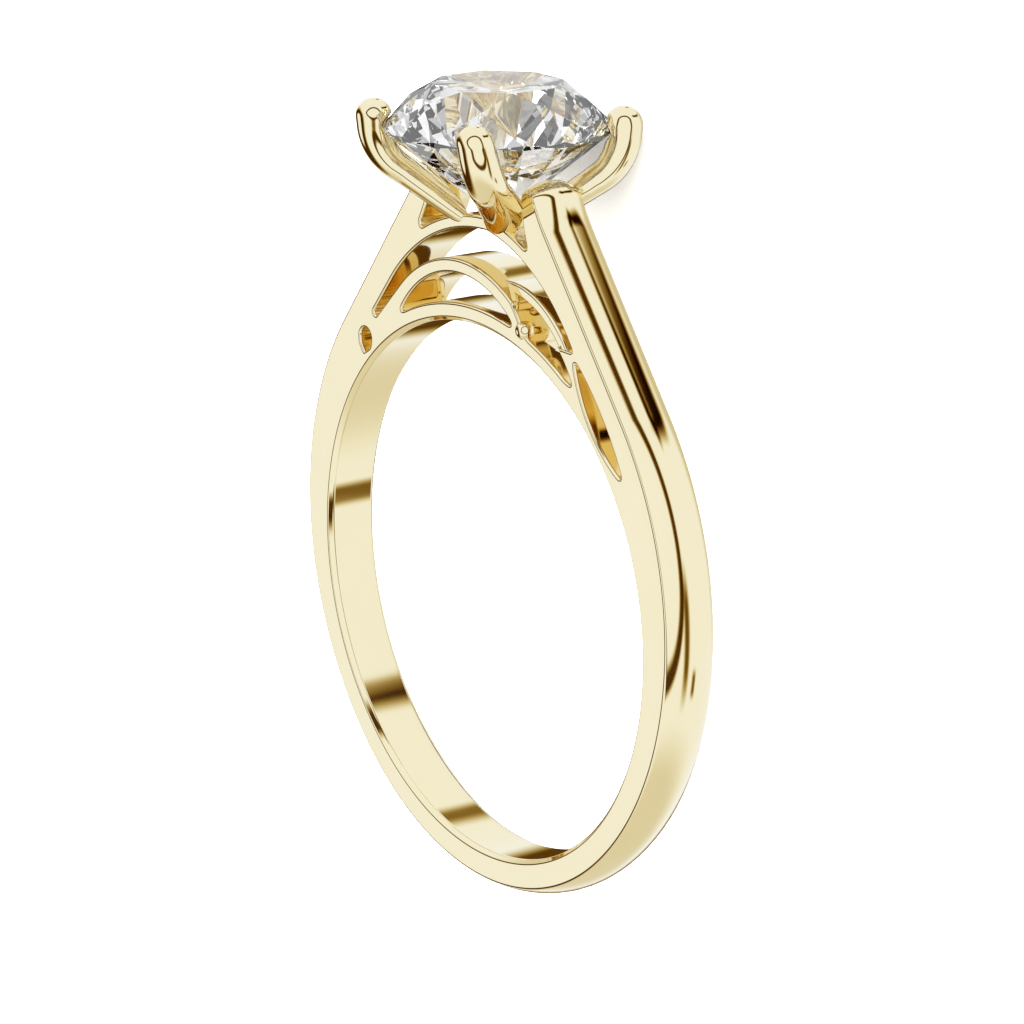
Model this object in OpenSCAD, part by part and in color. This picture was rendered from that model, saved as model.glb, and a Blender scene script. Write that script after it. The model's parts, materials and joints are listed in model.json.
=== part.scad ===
// Cathedral setting ring lying on its side: a band whose two arms rise to a
// raised head, a pierced gallery under the head, and one round cut stone.
// Ring frame used by the sub-parts, in mm: X across, Y along the finger,
// Z up to the stone, zero at the middle of the finger hole.

/* [Band] */
// Inside diameter of the finger hole
finger_diameter = 17.3; // [14:0.1:22]
// Width of the band along the finger
band_width = 1.8; // [1.2:0.05:3]
// Radius of the band's side face at the bottom
band_radius = 9.6; // [9.2:0.05:11]
// Height of the rounded outside above the side faces
dome_height = 0.29; // [0.1:0.01:0.6]
// Chamfer that eases the edges of the finger hole
bore_chamfer = 0.15; // [0.05:0.01:0.3]

/* [Shoulders] */
// Radius of each shoulder, where the band swells towards the arm
shoulder_radius = 10.53; // [10:0.01:12]
// Angle at which the band starts to swell, from the middle line
swell_angle = -49.75; // [-80:0.25:-20]
// Angle of the shoulder's end, where the straight arm starts
shoulder_angle = 38.5; // [20:0.5:60]
// Length of the straight part of each arm
arm_length = 6.31; // [3:0.05:9]
// Radius of the outward sweep at the top of each arm
sweep_radius = 4.87; // [3:0.05:12]
// Height of the arm tops above the middle of the finger hole
arm_top = 13.32; // [12.6:0.02:14]
// Height of the rounded cap on each arm top
cap_height = 0.3; // [0.1:0.02:0.6]

/* [Gallery] */
// Thickness of the rail round the finger hole
rail_thickness = 0.6; // [0.4:0.05:1.2]
// Thickness of the bridge that carries the head
bridge_thickness = 0.42; // [0.3:0.02:0.8]
// Radius of the outside of the middle arch
arch_radius = 5.05; // [4.6:0.05:5.4]
// Radius of the inside of the middle arch
arch_inside = 4.19; // [3.8:0.05:4.5]
// Width of the ribbon inside the right arm
ribbon_width = 0.38; // [0.3:0.02:0.5]
// Depth of the ribbon's top behind the side faces
ribbon_recess = 0.4; // [0.1:0.05:0.6]
// Width and depth of the fine groove beside the ribbon
groove = 0.07; // [0.03:0.01:0.12]
// Radius of the knot where the middle arch meets the rail
knot_radius = 0.3; // [0.2:0.02:0.4]

/* [Head] */
// Distance of each prong tip from the stone's axis
prong_reach = 3.88; // [3.5:0.02:4.5]
// Radius of the round prong tips
prong_tip_radius = 0.58; // [0.4:0.01:0.8]
// Half thickness of the prongs at the end of the bend
prong_bend_radius = 0.47; // [0.3:0.01:0.7]
// Half thickness of the prongs where they meet the bridge
prong_foot_radius = 0.36; // [0.25:0.01:0.6]
// Width of the prongs at the end of the bend
prong_width = 1.3; // [1:0.02:1.4]
// Width of the prongs where they meet the bridge
prong_foot_width = 1.14; // [0.8:0.02:1.4]
// Sideways shift of the prong feet, away from the middle of the bridge
prong_lean = 0.42; // [0:0.02:0.6]
// Angle of the lower part of each prong, from upright
prong_bend = 55; // [45:1:60]
// Radius of the bend in each prong
bend_radius = 1.55; // [1:0.05:2]
// Height of the centres of the prong tips
prong_height = 15.01; // [14.5:0.02:16]

/* [Stone] */
// Diameter of the stone at its girdle
stone_diameter = 7.0; // [5:0.1:7.4]
// Diameter of the table, the flat on top
table_diameter = 4.08; // [3:0.05:5]
// Height of the table
table_height = 16.2; // [15.6:0.05:16.6]
// Height of the girdle's upper edge
girdle_height = 14.89; // [14.5:0.02:15.2]
// Thickness of the girdle
girdle_thickness = 0.16; // [0.15:0.01:0.3]
// Slope of the pavilion, the cone below the girdle
pavilion_angle = 38.6; // [36:0.2:42]
// Gap left between the stone and the metal
stone_gap = 0.03; // [0.01:0.01:0.1]

/* [Hidden] */
$fn = 96;
finger_r = finger_diameter / 2;
half = band_width / 2;

// Lengths that only have to be long or short enough: far is longer than any
// part of the ring, and overlap is how deep joined shapes reach into each other.
far = 20;
overlap = 0.1;

// Step, too fine to see, between domed strips that run into each other.
seam = 0.003;

// Centre and end points of the right arm's outline.
swell_dir = [cos(swell_angle), sin(swell_angle)];
shoulder_dir = [cos(shoulder_angle), sin(shoulder_angle)];
middle_angle = (swell_angle + shoulder_angle) / 2;
middle_dir = [cos(middle_angle), sin(middle_angle)];
arm_dir = [-shoulder_dir[1], shoulder_dir[0]];
shoulder_c = swell_dir * (band_radius - shoulder_radius);
arm_foot = shoulder_c + shoulder_dir * shoulder_radius;
arm_bend = arm_foot + arm_dir * arm_length;
sweep_c = arm_bend + shoulder_dir * sweep_radius;
arm_peak = arm_top + cap_height + overlap;
arm_corner = arm_bend + shoulder_dir * (arm_peak - arm_bend[1]) / shoulder_dir[1];
sweep_end = asin((sweep_c[1] - arm_peak) / sweep_radius);

// Circles of the gallery: centre X, centre Z, radius.
rail = [0, 0, finger_r + rail_thickness];
roof_left = [0.73, 4.6, 7.18];
roof_right = [-0.37, 5.2, 6.65];
arch = [-0.73, 5.55, arch_radius];
arch_hollow = [-0.755, 5.96, arch_inside];
ribbon_hollow = [1.64, 5.96, 3.97];
leaf_outer = [-1.24, 1.14, 9.95];
leaf_inner = [9.82, 9.7, 4.73];
upper_tip = [-5.5, 8.02, 0.24];
drop = [-6.3, 6.98, 0.33];
drop_tail = [[-6.54, 6.76], [-6.1, 6.74], [-6.4, 6.48]];
knot = [2.5, 9.02];

// Heights and widths of the gallery's ends.
upper_floor = 7.85;
ribbon_foot_top = 8.9;
ribbon_span = [1, 5.2];
groove_ends = [8.35, 9.3];

// Inner edges of the arms above the bridge: X, Z.
left_arm_edge = [[-2.45, 20], [-2.45, 13.2], [-2.5, 12.6], [-2.75, 12], [-3.05, 11.45], [-3.05, 10]];
right_arm_edge = [[2.8, 10], [2.8, 11.6], [2.62, 12.1], [2.5, 12.6], [2.45, 13.2], [2.45, 20]];

// Right side of the middle arch, cut slantwise above the rail: X, Z.
arch_cut = [[2.1, 9.75], [2.5, 9.1], [4, 7], [6, 7], [5, 9]];

// Dome on the outside of the band: one arc over the band's width.
dome_r = (half * half + dome_height * dome_height) / (2 * dome_height);
cap_r = (half * half + cap_height * cap_height) / (2 * cap_height);

// Stone heights and radii.
stone_r = stone_diameter / 2;
table_r = table_diameter / 2;
girdle_low = girdle_height - girdle_thickness;
culet_height = girdle_low - stone_r * tan(pavilion_angle);
girdle_sides = 32;
girdle_step = 360 / girdle_sides;
fold = 45;
star_r = 2.75;
lower_half_r = 0.8;

// The ring rests on the girdle's edge and on the band's far edge.
rest_tilt = atan((stone_r - half) / (girdle_low + band_radius));
rest_lift = band_radius * sin(rest_tilt) + half * cos(rest_tilt);
reach_front = table_height * cos(rest_tilt) + table_r * cos(fold / 2) * sin(rest_tilt);
reach_back = (band_radius + dome_height - dome_r) * cos(rest_tilt) + dome_r;

// Sections along each prong and sides round it.
tip_steps = 5;
bend_steps = 9;
foot_steps = 4;
stations = tip_steps + bend_steps + foot_steps;
around = 20;
straight_drop = 0.31;
straight_share = 1 / 6;
foot_length = 3.1;
foot_trim = 0.03;
foot_depth = 0.2;
lean_top = 15.2;
lean_height = 2;

gold = [0.9, 0.74, 0.42];
clear = [0.93, 0.95, 0.98];

// A disc given as [centre X, centre Z, radius].
module disc(d) {
    translate([d[0], d[1]]) circle(r = d[2]);
}

// Both mirror images of what it is given.
module both_sides() {
    children();
    mirror([1, 0]) children();
}

// Extrudes a side view drawn in X and Z over the band's width.
module side_plate(width) {
    rotate([90, 0, 0]) linear_extrude(height = width, center = true) children();
}

// Side view of one shoulder and arm, just inside the domed outside.
module arm_outline() {
    inset = overlap * shoulder_dir;
    intersection() {
        disc([shoulder_c[0], shoulder_c[1], shoulder_radius - overlap]);
        polygon([shoulder_c, shoulder_c + far * swell_dir,
            shoulder_c + far * middle_dir, shoulder_c + far * shoulder_dir]);
    }
    difference() {
        polygon([[-overlap, 0], arm_foot - inset, arm_bend - inset, arm_corner - inset,
            [-overlap, arm_peak]]);
        disc([sweep_c[0], sweep_c[1], sweep_radius + overlap]);
    }
}

// Space between the arms above the bridge.
module head_space() {
    difference() {
        polygon(concat(left_arm_edge, right_arm_edge));
        roof(bridge_thickness);
    }
}

// The space under the bridge, grown by a margin.
module roof(margin) {
    intersection() {
        disc(roof_left + [0, 0, margin]);
        disc(roof_right + [0, 0, margin]);
    }
}

// Upper opening of the gallery, between the bridge and the middle arch.
module upper_opening() {
    difference() {
        intersection() {
            roof(0);
            translate([-far / 2, upper_floor]) square(far);
        }
        difference() {
            disc(arch);
            polygon(arch_cut);
        }
        disc(rail);
        ribbon_foot();
    }
    disc(upper_tip);
}

// Metal that closes the upper opening at the foot of the ribbon.
module ribbon_foot() {
    difference() {
        translate([ribbon_hollow[0], 0]) square([far, ribbon_foot_top]);
        disc(ribbon_hollow);
    }
}

// Lower opening, between the middle arch and the rail.
module lower_opening() {
    difference() {
        disc(arch_hollow);
        disc(rail);
    }
}

// Long leaf-shaped slot between the right arm and the rail.
module leaf_slot() {
    intersection() {
        disc(leaf_outer);
        disc(leaf_inner);
    }
}

// Small drop-shaped hole between the left arm and the rail.
module drop_hole() {
    disc(drop);
    polygon(drop_tail);
}

// Side view of the whole metal below the head.
module side_view() {
    difference() {
        union() {
            disc([0, 0, band_radius - overlap]);
            both_sides() arm_outline();
        }
        head_space();
        upper_opening();
        lower_opening();
        leaf_slot();
        drop_hole();
    }
}

// Ribbon that follows the right arm from the middle arch down to the rail,
// set back at its top and flush with the side faces at its foot.
module ribbon() {
    intersection() {
        side_plate(band_width) intersection() {
            difference() {
                disc(ribbon_hollow + [0, 0, ribbon_width]);
                disc(ribbon_hollow);
            }
            union() {
                roof(0);
                ribbon_foot();
            }
            translate([ribbon_span[0], upper_floor]) square(far);
        }
        linear_extrude(height = far) polygon([[ribbon_span[0], ribbon_recess - half],
            [ribbon_span[1], -half], [ribbon_span[1], half],
            [ribbon_span[0], half - ribbon_recess]]);
    }
}

// Fine groove that carries the arm's inner edge on, from the upper opening
// to the leaf slot, in both side faces.
module face_groove() {
    for (y = [-half, half]) translate([0, y, 0]) side_plate(2 * groove) intersection() {
        difference() {
            disc(roof_right + [0, 0, groove]);
            disc(roof_right);
        }
        translate([0, groove_ends[0]]) square([far, groove_ends[1] - groove_ends[0]]);
    }
}

// Small round knots on both side faces where the middle arch meets the rail.
module knots() {
    for (y = [-1, 1]) translate([knot[0], y * (half - knot_radius / 2), knot[1]])
        sphere(r = knot_radius, $fn = 24);
}

// Cross-section of the domed outside at a given radius; a sweep that curves
// away from the finger hole has its dome on the inward side.
module dome_section(radius, inward = false) {
    s = inward ? -1 : 1;
    intersection() {
        translate([radius + s * (dome_height - dome_r), 0]) circle(r = dome_r);
        translate([radius - (inward ? dome_height + overlap : 2 * overlap), -half])
            square([dome_height + 3 * overlap, band_width]);
    }
}

// Sweeps a dome section about an axis along the finger.
module dome_arc(centre, from, to, radius, inward = false) {
    translate([centre[0], 0, centre[1]]) rotate([90, 0, 0]) rotate([0, 0, from])
        rotate_extrude(angle = to - from) dome_section(radius, inward);
}

// Domed outside of one shoulder and arm.
module arm_dome() {
    dome_arc(shoulder_c, swell_angle, shoulder_angle, shoulder_radius);
    translate([arm_foot[0], 0, arm_foot[1]]) rotate([0, -shoulder_angle, 0])
        translate([-seam, 0, -overlap])
            linear_extrude(height = arm_length + 2 * overlap) dome_section(0);
    dome_arc(sweep_c, 180 + sweep_end, 180 + shoulder_angle, sweep_radius, true);
}

// Domed outside of the band and both arms.
module dome() {
    dome_arc([0, 0], 180 - swell_angle, 360 + swell_angle, band_radius);
    arm_dome();
    mirror([1, 0, 0]) arm_dome();
}

// Band, shoulders, arms and gallery, before the head is added.
module band_and_arms() {
    difference() {
        union() {
            side_plate(band_width) side_view();
            dome();
            ribbon();
            knots();
        }
        face_groove();
        rotate([90, 0, 0]) cylinder(r = finger_r, h = 4 * band_width, center = true);
        for (m = [0, 1]) mirror([0, m, 0]) translate([0, -half, 0]) rotate([90, 0, 0])
            cylinder(r1 = finger_r, r2 = finger_r + 2 * bore_chamfer, h = 2 * bore_chamfer,
                center = true);
        difference() {
            translate([-far / 2, -band_width, arm_top - overlap]) cube([far, 2 * band_width, far]);
            translate([0, 0, arm_top + cap_height - cap_r]) rotate([0, 90, 0])
                cylinder(r = cap_r, h = far, center = true);
        }
    }
}

// Prong centre line in its own upright plane: [reach, height, half width
// across, half thickness, angle of the section] at each station.
function prong_station(i) =
    i < tip_steps ?
        let (a = 90 * (1 - i / tip_steps))
        [prong_reach, prong_height + prong_tip_radius * sin(a),
            prong_tip_radius * cos(a), prong_tip_radius * cos(a), 0] :
    i <= tip_steps + bend_steps ?
        let (k = (i - tip_steps) / bend_steps,
            a = prong_bend * max(0, k - straight_share) / (1 - straight_share),
            drop = straight_drop * min(1, k / straight_share))
        [prong_reach - bend_radius * (1 - cos(a)), prong_height - drop - bend_radius * sin(a),
            blend(prong_tip_radius, prong_width / 2, k), blend(prong_tip_radius, prong_bend_radius, k), a] :
    let (k = (i - tip_steps - bend_steps) / foot_steps,
        e = prong_station(tip_steps + bend_steps), l = foot_length * k)
    [e[0] - l * sin(prong_bend), e[1] - l * cos(prong_bend),
        blend(e[2], prong_foot_width / 2, k), blend(e[3], prong_foot_radius, k), prong_bend];
function blend(a, b, k) = a + (b - a) * k;

// Sideways place of a prong's centre line at a height.
function lean(z) = prong_lean * max(0, min(1, (lean_top - z) / lean_height));

// One prong, standing in the plane of the X and Z axes.
module prong() {
    points = concat([[prong_reach, 0, prong_height + prong_tip_radius]],
        [for (i = [1 : stations], k = [0 : around - 1])
            let (s = prong_station(i), t = 360 * k / around)
            [s[0] + s[3] * cos(t) * cos(s[4]), s[2] * sin(t) + lean(s[1]),
                s[1] - s[3] * cos(t) * sin(s[4])]]);
    n = around;
    faces = concat(
        [for (k = [0 : n - 1]) [0, 1 + (k + 1) % n, 1 + k]],
        [for (i = [0 : stations - 2], k = [0 : n - 1])
            [1 + i * n + k, 1 + i * n + (k + 1) % n, 1 + (i + 1) * n + (k + 1) % n]],
        [for (i = [0 : stations - 2], k = [0 : n - 1])
            [1 + i * n + k, 1 + (i + 1) * n + (k + 1) % n, 1 + (i + 1) * n + k]],
        [[for (k = [0 : n - 1]) 1 + (stations - 1) * n + k]]);
    polyhedron(points = points, faces = faces);
}

// Four prongs on the diagonals, mirror images of each other, on the bridge.
module prongs() {
    for (m = [0, 1], n = [0, 1]) mirror([m, 0, 0]) mirror([0, n, 0])
        rotate([0, 0, -45]) prong();
}

// Room for the stone: its turned outline plus the gap.
module stone_seat() {
    g = stone_gap;
    rotate_extrude() polygon([[0, culet_height - 1.5 * g], [stone_r + g, girdle_low - 0.5 * g],
        [stone_r + g, girdle_height + 0.5 * g], [table_r + g, table_height + g],
        [0, table_height + g]]);
}

// The whole metal in the ring frame.
module metal() {
    difference() {
        union() {
            band_and_arms();
            difference() {
                prongs();
                side_plate(2 * band_width) roof(foot_trim);
                side_plate(band_width - 2 * foot_depth) translate([-far / 2, 0]) square(far);
            }
        }
        stone_seat();
    }
}

// Round cut stone: table, stars, kites and upper halves above the girdle,
// mains and lower halves below it, all flat.
function ring_point(r, a, z) = [r * cos(a), r * sin(a), z];
crown_slope = (table_height - girdle_height) / (table_r - stone_r);
star_height = girdle_height + (star_r * cos(fold / 2) - stone_r) * crown_slope;
main_slope = (girdle_low - culet_height) / stone_r;
lower_half_height = culet_height + lower_half_r * cos(fold / 2) * main_slope;

// Height at which the plane of an upper or lower half meets the girdle.
function half_drop(r, z, edge) =
    (edge - z) / (stone_r - r) / cos(girdle_step) * stone_r * (1 - cos(girdle_step));

module stone_solid() {
    crown = concat(
        [for (k = [0 : 7]) ring_point(table_r, fold * (k + 0.5), table_height)],
        [for (k = [0 : 7]) ring_point(star_r, fold * k, star_height)],
        [for (k = [0 : girdle_sides - 1]) ring_point(stone_r, girdle_step * k,
            girdle_height + (k % 2 == 1 ? half_drop(star_r, star_height, girdle_height) : 0))]);
    n = girdle_sides;
    base = 16 + n;
    points = concat(crown,
        [for (k = [0 : n - 1]) ring_point(stone_r, girdle_step * k,
            girdle_low + (k % 2 == 1 ? half_drop(lower_half_r, lower_half_height, girdle_low) : 0))],
        [for (k = [0 : 7]) ring_point(lower_half_r, fold * k, lower_half_height)],
        [[0, 0, culet_height]]);
    low = base + n;
    q = n / 8;
    faces = concat(
        [[for (k = [7 : -1 : 0]) k]],
        [for (k = [0 : 7]) [k, (k + 1) % 8, 8 + (k + 1) % 8]],
        [for (k = [0 : 7]) [k, 8 + (k + 1) % 8, 16 + q * k + q / 2, 8 + k]],
        [for (k = [0 : 7]) concat([8 + k], [for (j = [q / 2 : -1 : 0]) 16 + q * k + j])],
        [for (k = [0 : 7]) concat([8 + (k + 1) % 8],
            [for (j = [q : -1 : q / 2]) 16 + (q * k + j) % n])],
        [for (k = [0 : n - 1]) [16 + k, 16 + (k + 1) % n, base + (k + 1) % n, base + k]],
        [for (k = [0 : 7]) concat([low + k], [for (j = [0 : q / 2]) base + q * k + j])],
        [for (k = [0 : 7]) concat([low + (k + 1) % 8],
            [for (j = [q / 2 : q]) base + (q * k + j) % n])],
        [for (k = [0 : 7]) [low + 8, low + k, base + q * k + q / 2, low + (k + 1) % 8]]);
    polyhedron(points = points, faces = faces);
}

// Lays the ring on its side, head towards +Y, on the floor and centred.
module lie_down() {
    translate([0, (reach_back - reach_front) / 2, rest_lift]) rotate([rest_tilt, 0, 0])
        rotate([-90, 0, 0]) children();
}

module ring_mount() {
    color(gold) lie_down() metal();
}

module round_stone() {
    color(clear) lie_down() stone_solid();
}

ring_mount();
round_stone();
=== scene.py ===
import json
import math

import bpy
import numpy as np
from mathutils import Matrix, Vector
from mathutils.geometry import tessellate_polygon


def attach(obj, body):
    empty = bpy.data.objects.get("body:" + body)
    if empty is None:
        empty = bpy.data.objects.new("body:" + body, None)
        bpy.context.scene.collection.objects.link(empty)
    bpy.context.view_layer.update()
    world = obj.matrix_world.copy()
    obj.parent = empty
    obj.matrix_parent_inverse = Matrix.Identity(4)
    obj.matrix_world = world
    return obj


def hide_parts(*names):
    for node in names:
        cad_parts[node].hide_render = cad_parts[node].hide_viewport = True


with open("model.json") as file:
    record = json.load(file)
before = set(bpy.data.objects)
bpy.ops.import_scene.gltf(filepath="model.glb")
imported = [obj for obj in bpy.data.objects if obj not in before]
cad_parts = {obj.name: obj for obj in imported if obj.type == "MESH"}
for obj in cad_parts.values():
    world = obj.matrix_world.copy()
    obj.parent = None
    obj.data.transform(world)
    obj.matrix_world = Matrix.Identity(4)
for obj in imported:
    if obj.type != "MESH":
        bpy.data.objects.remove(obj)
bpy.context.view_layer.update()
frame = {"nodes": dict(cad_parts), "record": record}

MM = 0.001

# The finger hole's centre and axis in the row's frame carry the ring's own
# frame, which all the sizes below use: X across, Y along the finger, Z up to
# the stone, in millimetres.
bore = next(m for m in frame["record"]["mounts"] if m["name"] == "finger_bore")
lie_angle = math.atan2(-bore["axis"][1], bore["axis"][2])
lie_down = (
    Matrix.Translation(bore["pos_m"])
    @ Matrix.Rotation(lie_angle, 4, "X")
    @ Matrix.Rotation(-math.pi / 2, 4, "X")
)


# Sizes of the metal, the same as in the solids where nothing else is said


FINGER_R = bore["dims"]["r_mm"]
HALF_WIDTH = 0.9
BAND_R = 9.6
DOME_HEIGHT = 0.29
BORE_CHAMFER = 0.15

SHOULDER_R = 10.53
SWELL_ANGLE = -49.75
SHOULDER_ANGLE = 38.5
ARM_LENGTH = 6.31
SWEEP_R = 4.87
ARM_TOP = 13.32

RAIL_R = FINGER_R + 0.6
BRIDGE_THICKNESS = 0.42
ROOF_LEFT = (0.73, 4.6, 7.18)
ROOF_RIGHT = (-0.37, 5.2, 6.65)
ARCH = (-0.73, 5.55, 5.05)
ARCH_HOLLOW = (-0.755, 5.96, 4.19)
ARCH_CUT = ((2.1, 9.75), (2.5, 9.1), (4, 7), (6, 7), (5, 9))
RIBBON_HOLLOW = (1.64, 5.96, 3.97)
RIBBON_WIDTH = 0.38
RIBBON_RECESS = 0.4
RIBBON_SPAN = (1.0, 5.2)
# Angles between which the ribbon runs, and how far it stays behind the faces
# where it would lie flush with them.
RIBBON_TURNS = (100, 41)
RIBBON_CLEAR = 0.002
RIBBON_FOOT_TOP = 8.9
UPPER_FLOOR = 7.85
# The upper opening's left tip, slimmer here than in the solids: the wedge and
# the disc that open it and the metal that closes its right side.
TIP_WEDGE = ((-4.69, 9.31), (-5.774, 8.021), (-5.615, 7.871), (-4.8, 8.7))
TIP_END = (-5.69, 7.95, 0.11)
TIP_SIDE = ((-4.22, 9.2), (-5.7, 7.79), (-5.7, 7.4), (-4.2, 7.4))
LEAF_OUTER = (-1.24, 1.14, 9.95)
LEAF_INNER = (9.82, 9.7, 4.73)
DROP = (-6.3, 6.98, 0.33)
DROP_TAIL = ((-6.54, 6.76), (-6.1, 6.74), (-6.4, 6.48))
KNOT = (2.5, 9.02, 0.3)
LEFT_ARM_EDGE = ((-2.45, 20), (-2.45, 13.2), (-2.5, 12.6), (-2.75, 12), (-3.05, 11.45), (-3.05, 10))
RIGHT_ARM_EDGE = ((2.8, 10), (2.8, 11.6), (2.62, 12.1), (2.5, 12.6), (2.45, 13.2), (2.45, 20))

PRONG_REACH = 3.88
PRONG_TIP_R = 0.58
PRONG_BEND_R = 0.47
PRONG_FOOT_R = 0.36
PRONG_WIDTH = 1.3
PRONG_FOOT_WIDTH = 1.14
PRONG_LEAN = 0.42
PRONG_BEND = 55
BEND_R = 1.55
PRONG_HEIGHT = 15.01
STRAIGHT_DROP = 0.31
STRAIGHT_SHARE = 1 / 6
FOOT_LENGTH = 3.1
FOOT_TRIM = 0.03
FOOT_DEPTH = 0.2
# Here alone a foot spreads this much further towards its arm, from just above
# the bend's end and faster further down, and the limits that the prong is
# fitted to are eased.
FOOT_FLARE = 0.6
FLARE_START = 1.9
FLARE_POWER = 1.5
PRONG_EASE = 0.1
PRONG_SPIN = -45
LEAN_TOP = 15.2
LEAN_HEIGHT = 2

# Turned outline of the stone with its gap: radius, height.
SEAT = ((0.0, 11.89), (3.53, 14.715), (3.53, 14.905), (2.07, 16.23))

# Roundings that a polishing wheel leaves on the edges and in the corners.
EDGE_R = 0.1
DOME_EDGE_R = 0.14
CORNER_EASE = 0.2
HOLE_EASE = 0.22

# Tracing of an outline: the steps along the outside and along a hole, how
# near to its edge a point has to lie, the tries that it gets, and the most
# points that an outline may take.
OUTSIDE_STEP = 0.06
HOLE_STEP = 0.03
SETTLED = 2e-5
SETTLE_TRIES = 8
MOST_POINTS = 6000

# Detail of the surface: points round the finger hole and rows over an outer
# edge, over the side between two edges and over a hole's edge.
BORE_POINTS = 720
EDGE_ROWS = 7
SIDE_ROWS = 10
HOLE_EDGE_ROWS = 6
# Sections of the ribbon and points round a corner of one, rings of a bead and
# points of each, sections of a prong's tip, bend and foot, where the first
# one lies, and points of each.
RIBBON_SECTIONS = 75
RIBBON_CORNER_POINTS = 6
BEAD_RINGS = 17
BEAD_POINTS = 32
PRONG_SECTIONS = (14, 40, 40)
PRONG_START = 0.02
PRONG_POINTS = 48


# Camera


# The photograph's camera in the ring's frame: focal length in pixels of the
# 1024 pixel frame, angles in degrees, distances in millimetres.
PICTURE = 1024
FOCAL_PX = 3611.0
CAMERA_AZIMUTH = 55.156
CAMERA_ELEVATION = 17.098
CAMERA_DISTANCE = 113.94
AIM_ACROSS = 0.421
AIM_UP = 2.492
SENSOR = 36.0


def make_camera():
    """Camera at the photograph's angle to the ring."""
    azimuth, elevation = math.radians(CAMERA_AZIMUTH), math.radians(CAMERA_ELEVATION)
    back = Vector((
        math.sin(azimuth) * math.cos(elevation),
        -math.cos(azimuth) * math.cos(elevation),
        math.sin(elevation),
    ))
    right = Vector((math.cos(azimuth), math.sin(azimuth), 0))
    up = back.cross(right)
    place = (back * CAMERA_DISTANCE + right * AIM_ACROSS + Vector((0, 0, AIM_UP))) * MM
    turn = Matrix((right, up, back)).transposed().to_4x4()
    data = bpy.data.cameras.new("camera")
    data.sensor_width = SENSOR
    data.lens = FOCAL_PX / PICTURE * SENSOR
    data.clip_start = 1 * MM
    camera = bpy.data.objects.new("camera", data)
    camera.matrix_world = lie_down @ Matrix.Translation(place) @ turn
    bpy.context.collection.objects.link(camera)
    bpy.context.scene.camera = camera


# Side view of the metal: fields that are negative inside a shape


def unit(degrees):
    """Direction at an angle from the X axis."""
    return np.array((math.cos(math.radians(degrees)), math.sin(math.radians(degrees))))


swell_dir = unit(SWELL_ANGLE)
shoulder_dir = unit(SHOULDER_ANGLE)
arm_dir = np.array((-shoulder_dir[1], shoulder_dir[0]))
shoulder_c = swell_dir * (BAND_R - SHOULDER_R)
arm_foot = shoulder_c + shoulder_dir * SHOULDER_R
arm_bend = arm_foot + arm_dir * ARM_LENGTH
sweep_c = arm_bend + shoulder_dir * SWEEP_R


def keep(first, second, ease):
    """What lies inside both fields, with the corner between them eased."""
    near = np.maximum(ease - np.abs(first - second), 0) / ease
    return np.maximum(first, second) + near * near * ease / 4


def join(first, second, ease):
    """What lies inside either field, with the corner between them eased."""
    return -keep(-first, -second, ease)


def disc(x, z, circle):
    return np.hypot(x - circle[0], z - circle[1]) - circle[2]


def polygon(x, z, corners):
    """Distance to a polygon's outline, negative inside it."""
    nearest = np.full(np.shape(x), np.inf)
    inside = np.zeros(np.shape(x), bool)
    for (ax, az), (bx, bz) in zip(corners, corners[1:] + corners[:1]):
        ex, ez = bx - ax, bz - az
        share = np.clip(((x - ax) * ex + (z - az) * ez) / (ex * ex + ez * ez), 0, 1)
        nearest = np.minimum(nearest, np.hypot(x - ax - share * ex, z - az - share * ez))
        crosses = (az > z) != (bz > z)
        with np.errstate(divide="ignore", invalid="ignore"):
            inside ^= crosses & (x < ax + (z - az) * ex / ez if ez else False)
    return np.where(inside, -nearest, nearest)


def outline(x, z):
    """Band, shoulder and arm on the right; the left side is its mirror image."""
    x = np.abs(x)
    along = (x - arm_foot[0]) * arm_dir[0] + (z - arm_foot[1]) * arm_dir[1]
    band = np.hypot(x, z) - BAND_R
    shoulder = np.hypot(x - shoulder_c[0], z - shoulder_c[1]) - SHOULDER_R
    arm = (x - arm_foot[0]) * shoulder_dir[0] + (z - arm_foot[1]) * shoulder_dir[1]
    sweep = SWEEP_R - np.hypot(x - sweep_c[0], z - sweep_c[1])
    low = np.where(np.arctan2(z, x) < math.radians(SWELL_ANGLE), band, shoulder)
    return np.where(along < 0, low, np.where(along < ARM_LENGTH, arm, sweep))


def roof(x, z, margin=0.0):
    return np.maximum(disc(x, z, ROOF_LEFT), disc(x, z, ROOF_RIGHT)) - margin


def head_space(x, z):
    """Space between the arms above the bridge."""
    return keep(polygon(x, z, LEFT_ARM_EDGE + RIGHT_ARM_EDGE), -roof(x, z, BRIDGE_THICKNESS), HOLE_EASE)


def body(x, z):
    """The metal with none of the holes below the bridge."""
    arms = keep(outline(x, z), z - ARM_TOP, CORNER_EASE)
    return keep(arms, -head_space(x, z), HOLE_EASE)


def upper_opening(x, z):
    """Opening between the bridge and the middle arch."""
    arch = keep(disc(x, z, ARCH), -polygon(x, z, ARCH_CUT), HOLE_EASE)
    foot = np.maximum(np.maximum(RIBBON_HOLLOW[0] - x, z - RIBBON_FOOT_TOP), -disc(x, z, RIBBON_HOLLOW))
    field = keep(roof(x, z), UPPER_FLOOR - z, HOLE_EASE)
    field = keep(field, -arch, HOLE_EASE)
    field = keep(field, RAIL_R - np.hypot(x, z), HOLE_EASE)
    field = keep(field, -foot, HOLE_EASE / 2)
    # The tip's sides run on from the arcs above them into its round end, so no corner needs easing.
    field = np.maximum(field, -polygon(x, z, TIP_SIDE))
    return np.minimum(np.minimum(field, polygon(x, z, TIP_WEDGE)), disc(x, z, TIP_END))


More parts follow.
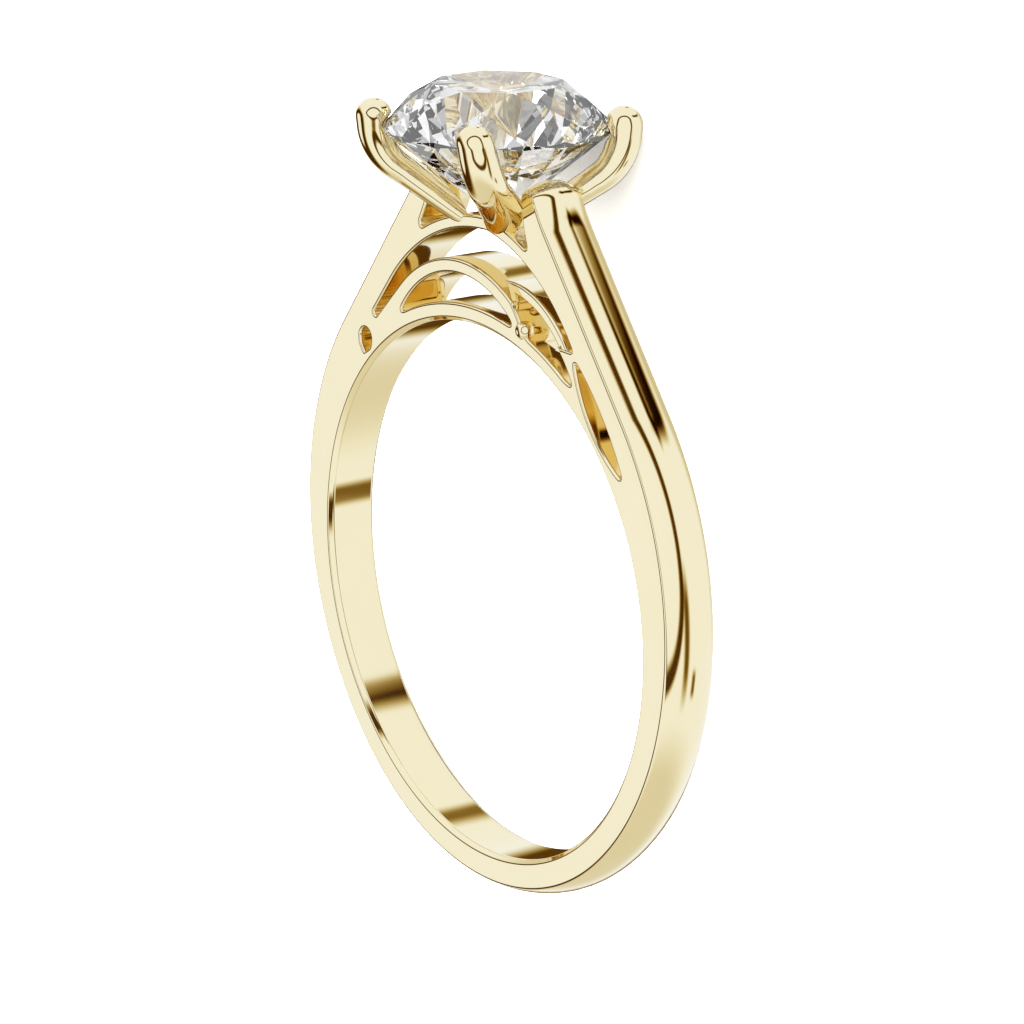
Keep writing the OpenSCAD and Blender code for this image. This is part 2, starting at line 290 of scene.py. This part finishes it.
def lower_opening(x, z):
    """Opening between the middle arch and the rail."""
    return keep(disc(x, z, ARCH_HOLLOW), RAIL_R - np.hypot(x, z), HOLE_EASE)


def leaf_slot(x, z):
    """Long slot between the right arm and the rail."""
    return keep(disc(x, z, LEAF_OUTER), disc(x, z, LEAF_INNER), HOLE_EASE)


def drop_hole(x, z):
    """Small drop-shaped hole between the left arm and the rail."""
    return join(disc(x, z, DROP), polygon(x, z, DROP_TAIL), HOLE_EASE)


# The holes, each with a point near its edge from which the tracing starts.
HOLES = (
    (upper_opening, (0, 11.5)),
    (lower_opening, (-0.7, 10.1)),
    (leaf_slot, (6.9, 6.7)),
    (drop_hole, (-6.0, 7)),
)


def slope(field, point):
    """Unit direction in which a field grows at a point."""
    reach = 1e-4
    x = point[0] + np.array((reach, -reach, 0, 0))
    z = point[1] + np.array((0, 0, reach, -reach))
    values = field(x, z)
    grown = np.array((values[0] - values[1], values[2] - values[3]))
    return grown / (np.hypot(*grown) + 1e-12)


def settle(field, point):
    """Moves a point on to a field's edge."""
    off = float(field(point[0], point[1]))
    for _ in range(SETTLE_TRIES):
        point = point - slope(field, point) * off
        off = float(field(point[0], point[1]))
        if abs(off) < SETTLED:
            break
    return point


def trace(field, start, step):
    """Walks round a field's edge and returns its points and their outward directions."""
    points = [settle(field, np.array(start, float))]
    ways = [slope(field, points[0])]
    while len(points) < 4 or np.hypot(*(points[-1] - points[0])) > step:
        ahead = np.array((-ways[-1][1], ways[-1][0]))
        points.append(settle(field, points[-1] + ahead * step))
        ways.append(slope(field, points[-1]))
        if len(points) > MOST_POINTS:
            raise RuntimeError("the outline does not close")
    return np.array(points), np.array(ways)


# Metal surface


class Surface:
    """Gathers vertices, their outward directions and faces, in the ring's frame."""

    def __init__(self):
        self.points, self.normals, self.faces = [], [], []

    def add(self, points, normals):
        """Adds vertices and returns the index of the first one."""
        first = sum(len(p) for p in self.points)
        self.points.append(points)
        self.normals.append(normals)
        return first

    def strip(self, points, normals):
        """Skins a grid of rows, each row a closed loop, and returns its first vertex."""
        rows, count = points.shape[:2]
        first = self.add(points.reshape(-1, 3), normals.reshape(-1, 3))
        k = np.arange(count)
        after = (k + 1) % count
        for row in range(rows - 1):
            near, far = first + row * count, first + (row + 1) * count
            self.faces.append(np.stack((near + k, near + after, far + after, far + k), 1))
        return first

    def arrays(self):
        """Points, unit normals and faces wound to face outward."""
        points, normals = np.concatenate(self.points), np.concatenate(self.normals)
        normals = normals / np.linalg.norm(normals, axis=1, keepdims=True)
        wound = []
        for faces in self.faces:
            corners = points[faces]
            across = np.cross(corners[:, 2] - corners[:, 0], corners[:, -1] - corners[:, 1])
            inward = (across * normals[faces].sum(1)).sum(1) < 0
            faces = faces.copy()
            faces[inward] = faces[inward][:, ::-1]
            wound += faces.tolist()
        return points, normals, wound


def wall_rows(edge, count_edge, count_side):
    """Rows of a straight wall with an eased edge: outward place, distance from the middle, tilt."""
    turn = np.linspace(0, math.pi / 2, count_edge)
    rows = [(-edge * (1 - math.sin(t)), HALF_WIDTH - edge * (1 - math.cos(t)), t) for t in turn]
    rows += [
        (0.0, (HALF_WIDTH - edge) * (1 - k), math.pi / 2)
        for k in np.linspace(0, 1, count_side + 1)[1:]
    ]
    return np.array(rows)


def dome_rows(edge, count_edge, count_side):
    """Rows of the domed outside with an eased edge."""
    radius = (HALF_WIDTH**2 + DOME_HEIGHT**2) / (2 * DOME_HEIGHT)
    middle = DOME_HEIGHT - radius
    centre = (middle + math.sqrt((radius - edge) ** 2 - (HALF_WIDTH - edge) ** 2), HALF_WIDTH - edge)
    end = math.atan2(centre[0] - middle, centre[1])
    rows = [
        (centre[0] + edge * math.sin(t), centre[1] + edge * math.cos(t), t)
        for t in np.linspace(0, end, count_edge)
    ]
    rows += [
        (middle + radius * math.sin(t), radius * math.cos(t), t)
        for t in np.linspace(end, math.pi / 2, count_side + 1)[1:]
    ]
    return np.array(rows)


def bore_rows():
    """Rows of the finger hole's wall with its eased chamfer."""
    c, e = BORE_CHAMFER, EDGE_R / 2
    return np.array((
        (-c - e, HALF_WIDTH, 0), (-c + e / 2, HALF_WIDTH - e / 2 - e / 4, math.pi / 4),
        (-e / 2 - e / 4, HALF_WIDTH - c + e / 2, math.pi / 4), (0, HALF_WIDTH - c - e, math.pi / 2),
        (0, 0, math.pi / 2),
    ))


def lay_rows(surface, loop, ways, rows):
    """Skins rows round a loop on both sides of the middle; returns the two face loops' first vertices.

    rows holds outward place, distance from the middle and tilt for each row,
    either one set for the whole loop or one set for each of its points.
    """
    rows = np.broadcast_to(rows[:, None, :] if rows.ndim == 2 else rows, (len(rows), len(loop), 3))
    place = loop[None] + ways[None] * rows[:, :, :1]
    points = np.stack((place[..., 0], -rows[..., 1], place[..., 1]), 2)
    tilt = rows[..., 2]
    normals = np.stack((ways[None, :, 0] * np.sin(tilt), -np.cos(tilt), ways[None, :, 1] * np.sin(tilt)), 2)
    flip = np.array((1, -1, 1))
    first = surface.strip(
        np.concatenate((points, points[-2::-1] * flip)), np.concatenate((normals, normals[-2::-1] * flip))
    )
    return (first, first + 2 * (len(rows) - 1) * len(loop)), len(loop)


def close_faces(surface, loops):
    """Fills the flat side faces between the outer loop and the holes' loops."""
    points = np.concatenate(surface.points)
    for side in (0, 1):
        index = np.concatenate([firsts[side] + np.arange(count) for firsts, count in loops])
        outlines = [
            [Vector((points[i][0], points[i][2], 0)) for i in range(firsts[side], firsts[side] + count)]
            for firsts, count in loops
        ]
        surface.faces.append(index[np.array(tessellate_polygon(outlines))])


def circle_loop(radius, count):
    """A circle round the finger hole, with directions towards its middle."""
    turn = np.linspace(0, 2 * math.pi, count, endpoint=False)
    ways = -np.stack((np.cos(turn), np.sin(turn)), 1)
    return -ways * radius, ways


def band_surface():
    """Band, arms and pierced gallery: flat eased side faces, walls and the domed outside."""
    surface = Surface()
    loop, ways = trace(body, (BAND_R, 0), OUTSIDE_STEP)
    # The dome dies away where the outline turns in between the arms.
    domed = np.clip(head_space(loop[:, 0], loop[:, 1]) / CORNER_EASE, 0, 1)
    domed = (domed * domed * (3 - 2 * domed))[None, :, None]
    wall = wall_rows(EDGE_R, EDGE_ROWS, SIDE_ROWS)[:, None]
    dome = dome_rows(DOME_EDGE_R, EDGE_ROWS, SIDE_ROWS)[:, None]
    loops = [lay_rows(surface, loop, ways, wall + (dome - wall) * domed)]
    loops.append(lay_rows(surface, *circle_loop(FINGER_R, BORE_POINTS), bore_rows()))
    for hole, start in HOLES:
        loop, ways = trace(hole, start, HOLE_STEP)
        # A hole's field grows into the metal, and its rows face the hole.
        loops.append(lay_rows(surface, loop, -ways, wall_rows(EDGE_R, HOLE_EDGE_ROWS, 1)))
    close_faces(surface, loops)
    return surface


def rounded_box(wide, high, edge, count):
    """Cross-section of a bar with eased edges: places and directions."""
    turn = np.concatenate([math.pi / 2 * (corner + np.linspace(0, 1, count)) for corner in range(4)])
    ways = np.stack((np.cos(turn), np.sin(turn)), 1)
    signs = np.repeat(((1, 1), (-1, 1), (-1, -1), (1, -1)), count, axis=0)
    return signs * (np.array((wide, high)) / 2 - edge) + ways * edge, ways


def add_ribbon(surface):
    """Ribbon from the middle arch down into its foot, set back at its top and almost flush below."""
    turns = np.radians(np.linspace(*RIBBON_TURNS, RIBBON_SECTIONS))
    radius = RIBBON_HOLLOW[2] + RIBBON_WIDTH / 2
    x = RIBBON_HOLLOW[0] + radius * np.cos(turns)
    share = np.clip((x - RIBBON_SPAN[0]) / (RIBBON_SPAN[1] - RIBBON_SPAN[0]), 0, 1)
    points, normals = [], []
    for turn, part in zip(turns, share):
        half = HALF_WIDTH - RIBBON_RECESS * (1 - part) - RIBBON_CLEAR
        section, ways = rounded_box(RIBBON_WIDTH, 2 * half, EDGE_R, RIBBON_CORNER_POINTS)
        reach = radius + section[:, 0]
        cos, sin = math.cos(turn), math.sin(turn)
        points.append(np.stack(
            (RIBBON_HOLLOW[0] + reach * cos, section[:, 1], RIBBON_HOLLOW[1] + reach * sin), 1
        ))
        normals.append(np.stack((ways[:, 0] * cos, ways[:, 1], ways[:, 0] * sin), 1))
    surface.strip(np.array(points), np.array(normals))


def add_ball(surface, centre, radius):
    """A small round bead."""
    lift = np.linspace(-math.pi / 2, math.pi / 2, BEAD_RINGS)[:, None]
    turn = np.linspace(0, 2 * math.pi, BEAD_POINTS, endpoint=False)[None]
    ways = np.stack((np.cos(lift) * np.cos(turn), np.cos(lift) * np.sin(turn), np.sin(lift) + 0 * turn), 2)
    surface.strip(np.array(centre) + ways * radius, ways)


def add_knots(surface):
    """Beads on both side faces where the middle arch meets the rail."""
    for side in (-1, 1):
        depth = side * (HALF_WIDTH - KNOT[2] / 2)
        add_ball(surface, (KNOT[0], depth, KNOT[1]), KNOT[2])


# Prongs


def prong_station(k):
    """Centre, half width, half thickness and angle of one section.

    k runs from 0 to 1 round the tip, to 2 round the bend and to 3 down the foot.
    """
    if k < 1:
        lift = math.pi / 2 * (1 - k)
        half = PRONG_TIP_R * math.cos(lift)
        return PRONG_REACH, PRONG_HEIGHT + PRONG_TIP_R * math.sin(lift), half, half, 0.0
    if k <= 2:
        part = k - 1
        angle = math.radians(PRONG_BEND) * max(0.0, part - STRAIGHT_SHARE) / (1 - STRAIGHT_SHARE)
        drop = STRAIGHT_DROP * min(1.0, part / STRAIGHT_SHARE)
        return (
            PRONG_REACH - BEND_R * (1 - math.cos(angle)), PRONG_HEIGHT - drop - BEND_R * math.sin(angle),
            PRONG_TIP_R + (PRONG_WIDTH / 2 - PRONG_TIP_R) * part,
            PRONG_TIP_R + (PRONG_BEND_R - PRONG_TIP_R) * part, angle,
        )
    reach, height, wide, thick, angle = prong_station(2)
    part = k - 2
    length = FOOT_LENGTH * part
    return (
        reach - length * math.sin(angle), height - length * math.cos(angle),
        wide + (PRONG_FOOT_WIDTH / 2 - wide) * part, thick + (PRONG_FOOT_R - thick) * part, angle,
    )


def soft_most(a, b):
    """The larger of two lengths, eased where they meet."""
    return (a + b + np.sqrt((a - b) ** 2 + PRONG_EASE**2)) / 2


def prong_mesh():
    """The prong at the front right, fitted round the stone's edge and down to the bridge."""
    tip, bend, foot = PRONG_SECTIONS
    stations = np.concatenate([
        np.linspace(PRONG_START, 1, tip), np.linspace(1, 2, bend)[1:], np.linspace(2, 3, foot)[1:],
    ])
    turn = np.linspace(0, 2 * math.pi, PRONG_POINTS, endpoint=False)
    rows = []
    for k in stations:
        reach, height, wide, thick, angle = prong_station(k)
        x = reach + thick * np.cos(turn) * math.cos(angle)
        lean = PRONG_LEAN * min(1.0, max(0.0, (LEAN_TOP - height) / LEAN_HEIGHT))
        z = height - thick * np.cos(turn) * math.sin(angle)
        flare = FOOT_FLARE * min(1.0, max(0.0, k - FLARE_START)) ** FLARE_POWER
        rows.append(np.stack((x, (wide + flare * (np.sin(turn) > 0)) * np.sin(turn) + lean, z), 1))
    points = np.array(rows)
    spin = math.radians(PRONG_SPIN)
    x = points[..., 0] * math.cos(spin) - points[..., 1] * math.sin(spin)
    y = points[..., 0] * math.sin(spin) + points[..., 1] * math.cos(spin)
    z = points[..., 2]
    # Keep clear of the stone, of the space between the side faces and of the bridge's underside.
    radii, heights = np.array(SEAT).T
    seat = np.where(z < heights[-1], np.interp(z, heights, radii, left=0), 0)
    out = np.hypot(x, y)
    grow = np.where(seat > 0, soft_most(out, seat) / np.maximum(out, 1e-6), 1)
    x, y = x * grow, y * grow
    y = -soft_most(-y, HALF_WIDTH - FOOT_DEPTH)
    z = z + soft_most(-roof(x, z, FOOT_TRIM), 0)
    surface = Surface()
    points = np.stack((x, y, z), 2)
    surface.strip(points, np.ones_like(points))
    peak = (math.cos(spin) * PRONG_REACH, math.sin(spin) * PRONG_REACH, PRONG_HEIGHT + PRONG_TIP_R)
    top = surface.add(np.array([peak]), np.ones((1, 3)))
    count = len(turn)
    surface.faces.append(np.array([(top, (k + 1) % count, k) for k in range(count)]))
    return np.concatenate(surface.points), [face[::-1] for part in surface.faces for face in part.tolist()]


# Materials


# Sizes in millimetres of the wheel's haze on the gold and of the clouds in
# the stone, and the angle past which an edge of a prong stays sharp.
HAZE_SIZE = 2.38
CLOUD_SIZE = 1.43
SHARP_ANGLE = 40


def linear(hex_colour):
    """Linear RGBA of an sRGB hex colour."""
    parts = [int(hex_colour[i : i + 2], 16) / 255 for i in (0, 2, 4)]
    return tuple(c / 12.92 if c <= 0.04045 else ((c + 0.055) / 1.055) ** 2.4 for c in parts) + (1.0,)


def add_node(tree, kind, values=None, links=None, **settings):
    """Adds one node, with its settings, its input values and its links from other nodes."""
    node = tree.nodes.new(kind)
    for name, value in settings.items():
        setattr(node, name, value)
    for name, value in (values or {}).items():
        node.inputs[name].default_value = value
    for name, source in (links or {}).items():
        tree.links.new(source, node.inputs[name])
    return node


def new_material(name):
    """An empty material, its node tree and its output node."""
    material = bpy.data.materials.new(name)
    material.use_nodes = True
    tree = material.node_tree
    tree.nodes.clear()
    return material, tree, add_node(tree, "ShaderNodeOutputMaterial")


def polished_gold():
    """14 karat yellow gold, cast and polished on a wheel: a pale yellow mirror with faint wheel haze."""
    material, tree, output = new_material("polished_yellow_gold")
    place = add_node(tree, "ShaderNodeTexCoord").outputs["Object"]
    pattern = {"Scale": 1 / (HAZE_SIZE * MM), "Detail": 3.0}
    haze = add_node(tree, "ShaderNodeTexNoise", pattern, {"Vector": place})
    roughness = add_node(
        tree, "ShaderNodeMapRange",
        {"From Min": 0.3, "From Max": 0.7, "To Min": 0.04, "To Max": 0.07},
        {"Value": haze.outputs["Fac"]},
    )
    tint = add_node(tree, "ShaderNodeValToRGB", links={"Fac": haze.outputs["Fac"]})
    tint.color_ramp.elements[0].color = linear("f2e0ab")
    tint.color_ramp.elements[1].color = linear("f4e2b1")
    shader = add_node(
        tree, "ShaderNodeBsdfPrincipled", {"Metallic": 1.0},
        {"Base Color": tint.outputs["Color"], "Roughness": roughness.outputs["Result"]},
    )
    tree.links.new(shader.outputs["BSDF"], output.inputs["Surface"])
    return material


def cut_diamond():
    """Near colourless diamond: flat polished facets, and faint cool clouds that add up inside."""
    material, tree, output = new_material("cut_diamond")
    place = add_node(tree, "ShaderNodeTexCoord").outputs["Object"]
    pattern = {"Scale": 1 / (CLOUD_SIZE * MM), "Detail": 2.0}
    clouds = add_node(tree, "ShaderNodeTexNoise", pattern, {"Vector": place})
    tint = add_node(tree, "ShaderNodeValToRGB", links={"Fac": clouds.outputs["Fac"]})
    tint.color_ramp.elements[0].position, tint.color_ramp.elements[1].position = 0.35, 0.65
    tint.color_ramp.elements[0].color = linear("fafbfd")
    tint.color_ramp.elements[1].color = linear("ffffff")
    shader = add_node(
        tree, "ShaderNodeBsdfPrincipled", {"Roughness": 0.0, "IOR": 2.4, "Transmission Weight": 1.0},
        {"Base Color": tint.outputs["Color"]},
    )
    tree.links.new(shader.outputs["BSDF"], output.inputs["Surface"])
    return material


def pale_floor():
    """Matt white studio board: even and soft, with no grain that shows."""
    material, tree, output = new_material("studio_board")
    shader = add_node(tree, "ShaderNodeBsdfPrincipled", {"Base Color": linear("fbfbfa"), "Roughness": 0.9})
    tree.links.new(shader.outputs["BSDF"], output.inputs["Surface"])
    return material


# Pieces


def finish_piece(piece, material):
    """Gives a metal piece its material and its place in the frame."""
    piece.data.materials.clear()
    piece.data.materials.append(material)
    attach(piece, "root")
    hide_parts("ring_mount")


def build_band(material):
    """Band, arms, gallery, ribbon and knots as one smooth skin."""
    surface = band_surface()
    add_ribbon(surface)
    add_knots(surface)
    points, normals, faces = surface.arrays()
    turn = np.array(lie_down.to_3x3())
    mesh = bpy.data.meshes.new("band_and_gallery")
    mesh.from_pydata((points * MM @ turn.T + np.array(lie_down.translation)).tolist(), [], faces)
    mesh.shade_smooth()
    mesh.normals_split_custom_set_from_vertices((normals @ turn.T).tolist())
    piece = bpy.data.objects.new("band_and_gallery", mesh)
    bpy.context.collection.objects.link(piece)
    finish_piece(piece, material)


def four_prongs_tree(material):
    """Geometry nodes: mirrors one prong across X and Y and lays the four down with the ring."""
    tree = bpy.data.node_groups.new("four_prongs", "GeometryNodeTree")
    tree.interface.new_socket("Prong", in_out="INPUT", socket_type="NodeSocketGeometry")
    for name in ("Lie Down Place", "Lie Down Turn"):
        tree.interface.new_socket(name, in_out="INPUT", socket_type="NodeSocketVector")
    tree.interface.new_socket("Prongs", in_out="OUTPUT", socket_type="NodeSocketGeometry")
    given = add_node(tree, "NodeGroupInput")
    shape = given.outputs["Prong"]
    for mirror in ((-1, 1, 1), (1, -1, 1)):
        other = add_node(tree, "GeometryNodeTransform", {"Scale": mirror}, {"Geometry": shape})
        flipped = add_node(tree, "GeometryNodeFlipFaces", links={"Mesh": other.outputs["Geometry"]})
        both = add_node(tree, "GeometryNodeJoinGeometry", links={"Geometry": shape})
        tree.links.new(flipped.outputs["Mesh"], both.inputs["Geometry"])
        shape = both.outputs["Geometry"]
    laid = add_node(tree, "GeometryNodeTransform", links={
        "Geometry": shape,
        "Translation": given.outputs["Lie Down Place"],
        "Rotation": given.outputs["Lie Down Turn"],
    })
    real = add_node(tree, "GeometryNodeRealizeInstances", links={"Geometry": laid.outputs["Geometry"]})
    dressed = add_node(
        tree, "GeometryNodeSetMaterial", {"Material": material}, {"Geometry": real.outputs["Geometry"]}
    )
    output = add_node(tree, "NodeGroupOutput")
    tree.links.new(dressed.outputs["Geometry"], output.inputs["Prongs"])
    return tree


def build_prongs(material):
    """The four prongs, made from one by the node tree."""
    points, faces = prong_mesh()
    mesh = bpy.data.meshes.new("one_prong")
    mesh.from_pydata((points * MM).tolist(), [], faces)
    maker = bpy.data.objects.new("one_prong", mesh)
    bpy.context.collection.objects.link(maker)
    modifier = maker.modifiers.new("four_prongs", "NODES")
    modifier.node_group = four_prongs_tree(material)
    values = {"Lie Down Place": lie_down.translation, "Lie Down Turn": lie_down.to_euler()}
    for socket in modifier.node_group.interface.items_tree:
        if socket.name in values:
            modifier[socket.identifier] = tuple(values[socket.name])
    evaluated = maker.evaluated_get(bpy.context.evaluated_depsgraph_get())
    prongs = bpy.data.meshes.new_from_object(evaluated)
    prongs.name = "prongs"
    bpy.data.objects.remove(maker)
    prongs.shade_smooth()
    prongs.set_sharp_from_angle(angle=math.radians(SHARP_ANGLE))
    piece = bpy.data.objects.new("prongs", prongs)
    bpy.context.collection.objects.link(piece)
    finish_piece(piece, material)


# Studio


# Brightness of the tent's walls as the metal and the stone see them, and as
# the floor does.
TENT_LIGHT = 1.0
FLOOR_LIGHT = 3.3

# Powers that turn the tent's green and blue down where the metal sees it dim.
WARMTH = (1.4, 2.6)
# The metal sees a cool white tent: its green and blue for a red of one.
COOLNESS = (1.1, 1.38)

# Softboxes with black frames: the way to each in the ring's frame, the angles
# from its middle between which the frame shows, how softly it ends and how
# dark it is. It begins over the rise, in degrees from its inside. The side
# faces mirror the first; rounded fronts mirror the second.
FRAME_RISE = (-2, 3)
SOFTBOXES = [
    dict(zip(("way", "inside", "outside", "softness", "dark"), row))
    for row in (
        ((-0.783, -0.548, -0.292), 15, 46, 16, 0.95),
        ((0.783, -0.548, 0.292), 40, 51, 4, 0.93),
    )
]

# Black strips between the tent's walls, in degrees in the ring's frame: middle
# azimuth at elevation 0, its lean per degree of elevation, half width, middle
# elevation, half height, and how dark the strip is. The two spans are the
# parts of the half width and the half height over which a strip fades out.
STRIP_ACROSS = (0.2, 1.2)
STRIP_ALONG = (0.4, 1.15)
STRIPS = [
    dict(zip(("azimuth", "lean", "width", "elevation", "height", "dark"), row))
    for row in (
        (15, 0.0, 8, -14, 22, 0.85),
        (132, -1.86, 14, 34, 12, 0.99),
        (50, 0.0, 8, 43, 8, 0.99),
        (37, 0.0, 6, -28, 4.5, 0.8),
        (134, 0.0, 5, 40, 10, 0.75),
        (104, 0.0, 16, 6, 26, 0.3),
    )
]

# The ground under an upright ring: the elevations over which it fades into
# the walls, and its light.
GROUND_REACH = (-62, -38)
GROUND_LIGHT = 0.8

# The open back of the tent: the way to it, the angles over which it fades
# into the white walls, and its light.
OPENING_WAY = (-0.783, 0.548, -0.292)
OPENING_REACH = (14, 30)
OPENING_LIGHT = 0.1

# The tent as seen through the stone: folds of cloth by their number across
# the tent, the values of the noise between which they fade and their light,
# and cards by the way to each, its reach in degrees and the light on it.
STONE_FOLDS = 3.0
STONE_FADE = (0.34, 0.54)
STONE_LIGHT = (0.3, 1.0)
CARD_SOFTNESS = 0.7
STONE_CARDS = [
    dict(zip(("way", "reach", "light"), row))
    for row in (
        ((0.23, -0.88, 0.42), 44, 0.02),
        ((0.98, 0.17, -0.1), 42, 1.3),
    )
]

# Lamp over the ring, in metres and watts.
KEY_PLACE = (0.06, 0.22, 0.26)
KEY_WIDTH = 0.2
KEY_POWER = 0.4

FLOOR_REACH = 1.5

# Light runs to and fro inside the stone and between the gallery's walls: how
# often in all and through the stone, and how often from metal to metal.
STONE_BOUNCES = 20
METAL_BOUNCES = 8


def make_floor():
    """Flat floor under the ring."""
    reach = FLOOR_REACH
    corners = [(-reach, -reach, 0), (reach, -reach, 0), (reach, reach, 0), (-reach, reach, 0)]
    mesh = bpy.data.meshes.new("floor")
    mesh.from_pydata(corners, [], [(0, 1, 2, 3)])
    floor = bpy.data.objects.new("floor", mesh)
    mesh.materials.append(pale_floor())
    bpy.context.collection.objects.link(floor)
    # Metal and stone show the tent and not the floor, as on an upright ring.
    floor.visible_glossy = False
    floor.visible_transmission = False


class TentNodes:
    """Nodes that reckon with the way in which a ray leaves, turned into the ring's frame."""

    def __init__(self, tree):
        self.tree = tree
        outward = add_node(tree, "ShaderNodeTexCoord").outputs["Generated"]
        upright = {"Angle": math.pi / 2 - lie_angle}
        self.way = add_node(
            tree, "ShaderNodeVectorRotate", upright, {"Vector": outward}, rotation_type="X_AXIS"
        ).outputs["Vector"]
        axes = add_node(tree, "ShaderNodeSeparateXYZ", links={"Vector": self.way})
        x, y, z = (axes.outputs[name] for name in "XYZ")
        self.azimuth = self.reckon("DEGREES", self.reckon("ARCTAN2", y, x))
        self.elevation = self.reckon("DEGREES", self.reckon("ARCSINE", z))

    def reckon(self, operation, *terms):
        """Result of a sum on numbers and on other nodes' outputs."""
        values = {i: term for i, term in enumerate(terms) if isinstance(term, (int, float))}
        links = {i: term for i, term in enumerate(terms) if not isinstance(term, (int, float))}
        return add_node(self.tree, "ShaderNodeMath", values, links, operation=operation).outputs["Value"]

    def fade(self, value, start, end, before, after):
        """Goes smoothly from before to after while the value goes from start to end."""
        limits = {"From Min": start, "From Max": end, "To Min": before, "To Max": after}
        return add_node(
            self.tree, "ShaderNodeMapRange", limits, {"Value": value}, interpolation_type="SMOOTHSTEP"
        ).outputs["Result"]

    def angle_from(self, way):
        """Angle in degrees between the ray's way and another one."""
        facing = add_node(
            self.tree, "ShaderNodeVectorMath", {1: way}, {0: self.way}, operation="DOT_PRODUCT"
        ).outputs["Value"]
        return self.reckon("DEGREES", self.reckon("ARCCOSINE", facing))

    def apart(self, value, middle, reach):
        """Distance of a value from a middle, as a part of a reach."""
        return self.reckon("DIVIDE", self.reckon("ABSOLUTE", self.reckon("SUBTRACT", value, middle)), reach)

    def dim(self, light, share):
        """Light with a share of it taken away."""
        return self.reckon("MULTIPLY", light, self.reckon("SUBTRACT", 1.0, share))


def tent_light(tent):
    """Brightness of the white tent, with framed softboxes, black strips, dimmer ground and an open back."""
    light = 1.0
    for box in SOFTBOXES:
        away = tent.angle_from(box["way"])
        begins, full = (box["inside"] + rise for rise in FRAME_RISE)
        edging = tent.reckon(
            "MULTIPLY", tent.fade(away, begins, full, 0.0, box["dark"]),
            tent.fade(away, box["outside"] - box["softness"], box["outside"], 1.0, 0.0),
        )
        light = tent.dim(light, edging)
    for strip in STRIPS:
        middle = tent.reckon("MULTIPLY_ADD", tent.elevation, strip["lean"], strip["azimuth"])
        across = tent.apart(tent.azimuth, middle, strip["width"])
        along = tent.apart(tent.elevation, strip["elevation"], strip["height"])
        dark = tent.reckon(
            "MULTIPLY", tent.fade(across, *STRIP_ACROSS, strip["dark"], 0.0),
            tent.fade(along, *STRIP_ALONG, 1.0, 0.0),
        )
        light = tent.dim(light, dark)
    light = tent.reckon("MULTIPLY", light, tent.fade(tent.elevation, *GROUND_REACH, GROUND_LIGHT, 1.0))
    # The open back darkens every rounded outline.
    behind = tent.fade(tent.angle_from(OPENING_WAY), *OPENING_REACH, OPENING_LIGHT, 1.0)
    return tent.reckon("MULTIPLY", light, behind)


def metal_light(tent, light):
    """What the metal mirrors turns warm where it is dim, as gold mirrors gold."""
    green, blue = (
        tent.reckon("MULTIPLY", tent.reckon("POWER", light, power), cool)
        for power, cool in zip(WARMTH, COOLNESS)
    )
    parts = {"X": light, "Y": green, "Z": blue}
    return add_node(tent.tree, "ShaderNodeCombineXYZ", links=parts).outputs["Vector"]


def stone_light(tent):
    """What shows through the stone: the tent's folds and two cards."""
    folds = add_node(
        tent.tree, "ShaderNodeTexNoise", {"Scale": STONE_FOLDS, "Detail": 1.0}, {"Vector": tent.way}
    )
    light = tent.fade(folds.outputs["Fac"], *STONE_FADE, *STONE_LIGHT)
    for card in STONE_CARDS:
        away, reach = tent.angle_from(card["way"]), card["reach"]
        shown = tent.fade(away, reach * CARD_SOFTNESS, reach, card["light"], 1.0)
        light = tent.reckon("MULTIPLY", light, shown)
    return light


def studio_world():
    """The tent round the ring; metal, stone and floor each take their own part of its light."""
    world = bpy.data.worlds.new("light_tent")
    bpy.context.scene.world = world
    world.use_nodes = True
    tree = world.node_tree
    tree.nodes.clear()
    tent = TentNodes(tree)
    light = tent_light(tent)
    rays = add_node(tree, "ShaderNodeLightPath").outputs
    plain = add_node(tree, "ShaderNodeBackground", {"Color": (1, 1, 1, 1), "Strength": FLOOR_LIGHT})
    mix = plain.outputs["Background"]
    for ray, colour in (
        ("Is Glossy Ray", metal_light(tent, light)),
        ("Is Singular Ray", light),
        ("Is Transmission Ray", stone_light(tent)),
    ):
        seen = add_node(tree, "ShaderNodeBackground", {"Strength": TENT_LIGHT}, {"Color": colour})
        mix = add_node(
            tree, "ShaderNodeMixShader", links={0: rays[ray], 1: mix, 2: seen.outputs["Background"]}
        ).outputs["Shader"]
    output = add_node(tree, "ShaderNodeOutputWorld")
    tree.links.new(mix, output.inputs["Surface"])


def softbox(name, place, aim, width, power):
    """A square area light that faces a point and that no mirror shows."""
    data = bpy.data.lights.new(name, "AREA")
    data.size = width
    data.energy = power
    lamp = bpy.data.objects.new(name, data)
    lamp.visible_glossy = False
    facing = (Vector(aim) - Vector(place)).to_track_quat("-Z", "Y")
    lamp.matrix_world = Matrix.Translation(place) @ facing.to_matrix().to_4x4()
    bpy.context.collection.objects.link(lamp)


def main():
    make_camera()
    gold = polished_gold()
    build_band(gold)
    build_prongs(gold)
    for slot in frame["nodes"]["round_stone"].material_slots:
        slot.material = cut_diamond()
    make_floor()
    studio_world()
    softbox("key_softbox", KEY_PLACE, (0, 0, 0), KEY_WIDTH, KEY_POWER)
    bpy.context.scene.view_settings.view_transform = "Standard"
    light_paths = bpy.context.scene.cycles
    light_paths.max_bounces = light_paths.transmission_bounces = STONE_BOUNCES
    light_paths.glossy_bounces = METAL_BOUNCES


main()
